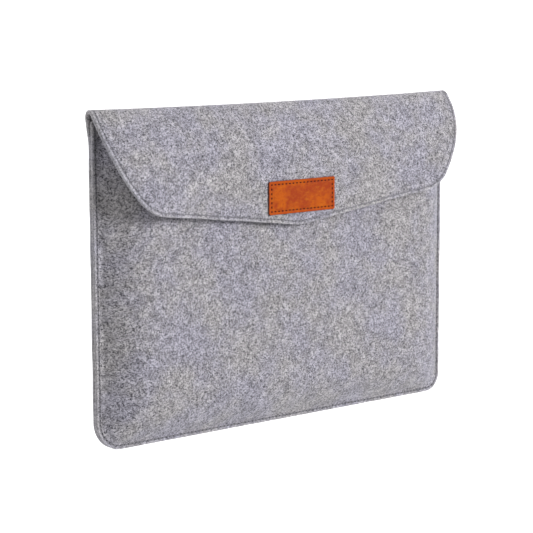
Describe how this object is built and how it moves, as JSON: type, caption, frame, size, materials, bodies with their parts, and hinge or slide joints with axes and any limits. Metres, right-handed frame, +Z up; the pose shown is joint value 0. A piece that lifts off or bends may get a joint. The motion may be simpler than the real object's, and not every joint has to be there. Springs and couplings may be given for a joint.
{
  "type": "laptop sleeve",
  "caption": "Slim laptop sleeve in thick grey wool felt: an open-topped stitched pocket, a folded-over flap cut to a shallow point, and a blank tan leather patch.",
  "frame": {"origin": "at table level, in the middle of the sleeve's width and depth, with the sleeve standing on its bottom edge", "axes": "+X along the width to the viewer's right, -Y forward out of the flap and leather patch, +Z up from the bottom edge to the fold"},
  "size_m": [0.3566, 0.0346, 0.257],
  "materials": {
    "grey_felt": "pressed grey melange wool felt, 3 mm",
    "tan_leather": "tan vegetable-tanned leather, waxed, semi-matt",
    "patch_thread": "dark brown waxed polyester thread",
    "grey_thread": "grey polyester sewing thread",
    "hook_tape": "grey nylon hook tape",
    "loop_tape": "grey brushed nylon loop tape"
  },
  "bodies": {
    "pocket": {"back_panel": "grey_felt", "fold": "grey_felt", "front_panel": "grey_felt", "seam_thread_front": "grey_thread", "seam_thread_back": "grey_thread", "loop_tape": "loop_tape", "loop_tape_thread": "grey_thread"},
    "flap": {"flap": "grey_felt", "leather_patch": "tan_leather", "patch_thread": "patch_thread", "flap_thread_front": "grey_thread", "flap_thread_back": "grey_thread", "hook_tape": "hook_tape"}
  },
  "joints": [
    {"name": "flap_fold", "type": "hinge", "parent": "pocket", "child": "flap", "pos_m": [0, 0.01177, 0.25517], "axis": [-1, 0, 0], "range_deg": [0, 175], "deforming": ["fold"]}
  ]
}
